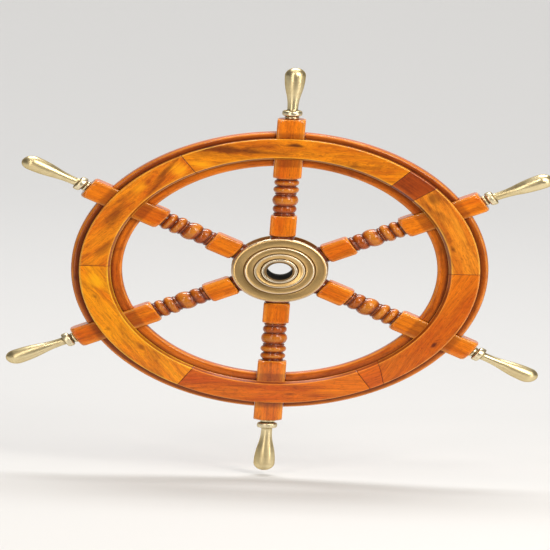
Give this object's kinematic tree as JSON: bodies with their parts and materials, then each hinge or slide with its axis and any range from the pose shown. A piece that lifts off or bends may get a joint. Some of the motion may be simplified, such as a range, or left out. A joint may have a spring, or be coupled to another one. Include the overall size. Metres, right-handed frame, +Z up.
{
  "type": "ship steering wheel",
  "caption": "Spoked wooden ship steering wheel with turned spokes, layered felloe rim, stepped brass hub plates and brass handles, running on a bored axle sleeve.",
  "frame": {"origin": "centre of the axle bore, in the middle plane of the rim", "axes": "+Y along the axle toward the rear (the shaft side), the face of the wheel looks to -Y, +Z up through the top spoke, +X to the right as seen from the front"},
  "size_m": [0.531, 0.0519, 0.61],
  "materials": {
    "axle_bronze": "machined, dull",
    "axle_brass": "satin",
    "bush_bronze": "machined, dull",
    "hub_brass": "satin turned",
    "handle_brass": "satin",
    "screw_brass": "dull",
    "set_screw_steel": "blackened",
    "stud_steel": "plain",
    "nave_wood": "gloss varnish",
    "peg_wood": "unfinished",
    "spoke_wood": "gloss varnish",
    "rim_wood": "gloss varnish",
    "facing_wood_1": "gloss varnish",
    "facing_wood_2": "gloss varnish",
    "facing_wood_3": "gloss varnish",
    "facing_wood_4": "gloss varnish",
    "facing_wood_5": "gloss varnish",
    "facing_wood_6": "gloss varnish",
    "filler_wood_1": "gloss varnish",
    "filler_wood_2": "gloss varnish",
    "rear_facing_wood": "gloss varnish"
  },
  "bodies": {
    "axle": {"axle_sleeve": "axle_bronze", "axle_collar": "axle_brass", "front_thrust_washer": "axle_bronze", "rear_thrust_washer": "axle_bronze", "sleeve_set_screws": "set_screw_steel"},
    "wheel": {"nave": "nave_wood", "nave_bush": "bush_bronze", "front_hub_plate": "hub_brass", "rear_hub_plate": "hub_brass", "hub_screws": "screw_brass", "tenon_pins": "peg_wood", "spoke_1": "spoke_wood", "spoke_2": "spoke_wood", "spoke_3": "spoke_wood", "spoke_4": "spoke_wood", "spoke_5": "spoke_wood", "spoke_6": "spoke_wood", "middle_felloe_1": "rim_wood", "middle_felloe_2": "rim_wood", "middle_felloe_3": "rim_wood", "middle_felloe_4": "rim_wood", "middle_felloe_5": "rim_wood", "middle_felloe_6": "rim_wood", "front_felloe_1": "facing_wood_1", "front_felloe_2": "facing_wood_2", "front_felloe_3": "facing_wood_3", "front_felloe_4": "facing_wood_4", "front_felloe_5": "facing_wood_5", "front_felloe_6": "facing_wood_6", "front_filler_1": "filler_wood_1", "front_filler_2": "filler_wood_2", "rear_felloe_1": "rear_facing_wood", "rear_felloe_2": "rear_facing_wood", "rear_felloe_3": "rear_facing_wood", "rear_felloe_4": "rear_facing_wood", "rear_felloe_5": "rear_facing_wood", "rear_felloe_6": "rear_facing_wood", "felloe_dowels": "peg_wood", "rim_screws": "screw_brass", "ferrule_1": "handle_brass", "ferrule_2": "handle_brass", "ferrule_3": "handle_brass", "ferrule_4": "handle_brass", "ferrule_5": "handle_brass", "ferrule_6": "handle_brass", "handle_1": "handle_brass", "handle_2": "handle_brass", "handle_3": "handle_brass", "handle_4": "handle_brass", "handle_5": "handle_brass", "handle_6": "handle_brass", "handle_studs": "stud_steel"}
  },
  "joints": [
    {"name": "wheel_spin", "type": "hinge", "parent": "axle", "child": "wheel", "pos_m": [0, 0, 0], "axis": [0, 1, 0], "continuous": true}
  ]
}
